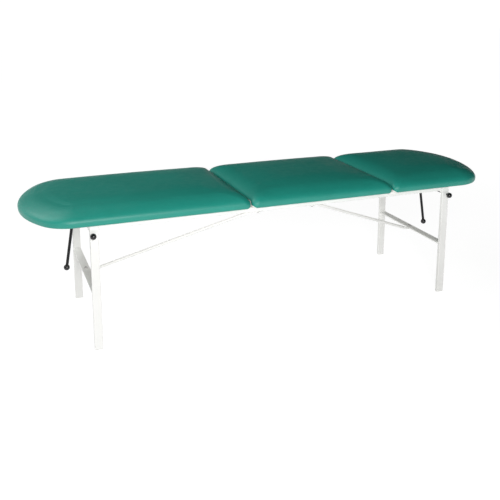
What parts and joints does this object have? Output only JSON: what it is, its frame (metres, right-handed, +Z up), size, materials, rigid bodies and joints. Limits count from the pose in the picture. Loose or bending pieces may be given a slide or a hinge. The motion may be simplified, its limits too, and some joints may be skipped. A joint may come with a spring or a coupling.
{
  "type": "examination table",
  "caption": "Low three-section examination couch on a white tube frame: padded end sections tilt up on seam hinges and are held by sliding struts with knob clamps.",
  "frame": {"origin": "on the floor, under the middle of the table's box", "axes": "+X along the table towards the short head section, +Y away from the knobs' side, +Z up"},
  "size_m": [1.914, 0.55, 0.53],
  "materials": {
    "vinyl": "satin",
    "white_laminate": "satin",
    "white_paint": "satin",
    "white_plastic": "matte",
    "black_steel": "satin",
    "black_plastic": "gloss",
    "zinc_steel": "satin"
  },
  "bodies": {
    "frame": {"brace_bolts": "zinc_steel", "brace_foot": "white_paint", "brace_head": "white_paint", "brace_nuts": "zinc_steel", "clamp_strap_foot": "white_paint", "clamp_strap_head": "white_paint", "cross_strip_foot": "white_paint", "cross_strip_head": "white_paint", "end_tube_foot": "white_paint", "end_tube_head": "white_paint", "foot_cap_foot_far": "white_plastic", "foot_cap_foot_near": "white_plastic", "foot_cap_head_far": "white_plastic", "foot_cap_head_near": "white_plastic", "hinge_fixed_foot": "zinc_steel", "hinge_fixed_head": "zinc_steel", "hinge_pin_foot": "zinc_steel", "hinge_pin_head": "zinc_steel", "hinge_screws_middle": "zinc_steel", "leg_foot_far": "white_paint", "leg_foot_near": "white_paint", "leg_head_far": "white_paint", "leg_head_near": "white_paint", "leg_plug_foot_far": "white_plastic", "leg_plug_foot_near": "white_plastic", "leg_plug_head_far": "white_plastic", "leg_plug_head_near": "white_plastic", "middle_board": "white_laminate", "middle_cushion": "vinyl", "rail_far": "white_paint", "rail_near": "white_paint", "rail_screws": "zinc_steel"},
    "foot_section": {"bracket_screws_foot": "zinc_steel", "foot_board": "white_laminate", "foot_cushion": "vinyl", "hinge_moving_foot": "zinc_steel", "hinge_screws_foot": "zinc_steel", "strut_bracket_foot": "black_steel", "strut_pivot_foot": "black_steel"},
    "head_section": {"bracket_screws_head": "zinc_steel", "head_board": "white_laminate", "head_cushion": "vinyl", "hinge_moving_head": "zinc_steel", "hinge_screws_head": "zinc_steel", "strut_bracket_head": "black_steel", "strut_pivot_head": "black_steel"},
    "foot_strut": {"strut_ball_foot": "black_plastic", "strut_rod_foot": "black_steel"},
    "head_strut": {"strut_ball_head": "black_plastic", "strut_rod_head": "black_steel"},
    "foot_clamp": {"clamp_knob_foot": "black_plastic", "clamp_screw_foot": "black_steel"},
    "head_clamp": {"clamp_knob_head": "black_plastic", "clamp_screw_head": "black_steel"}
  },
  "joints": [
    {"name": "foot_section_tilt", "type": "hinge", "parent": "frame", "child": "foot_section", "pos_m": [-0.146, 0, 0.484], "axis": [0, 1, 0], "range_deg": [0, 17]},
    {"name": "foot_strut_swing", "type": "hinge", "parent": "foot_section", "child": "foot_strut", "pos_m": [-0.756, 0, 0.452], "axis": [0, 1, 0], "range_deg": [-20.7, 0]},
    {"name": "foot_clamp_turn", "type": "hinge", "parent": "frame", "child": "foot_clamp", "pos_m": [-0.728, -0.2635, 0.428], "axis": [0, -1, 0], "range_deg": [0, 360]},
    {"name": "head_section_tilt", "type": "hinge", "parent": "frame", "child": "head_section", "pos_m": [0.456, 0, 0.484], "axis": [0, -1, 0], "range_deg": [0, 35]},
    {"name": "head_strut_swing", "type": "hinge", "parent": "head_section", "child": "head_strut", "pos_m": [0.756, 0, 0.452], "axis": [0, -1, 0], "range_deg": [-33.4, 0]},
    {"name": "head_clamp_turn", "type": "hinge", "parent": "frame", "child": "head_clamp", "pos_m": [0.728, -0.2635, 0.428], "axis": [0, -1, 0], "range_deg": [0, 360]}
  ],
  "couplings": [
    {"joint": "foot_strut_swing", "follows": "foot_section_tilt", "ratio": -1.21},
    {"joint": "head_strut_swing", "follows": "head_section_tilt", "ratio": -0.95}
  ]
}
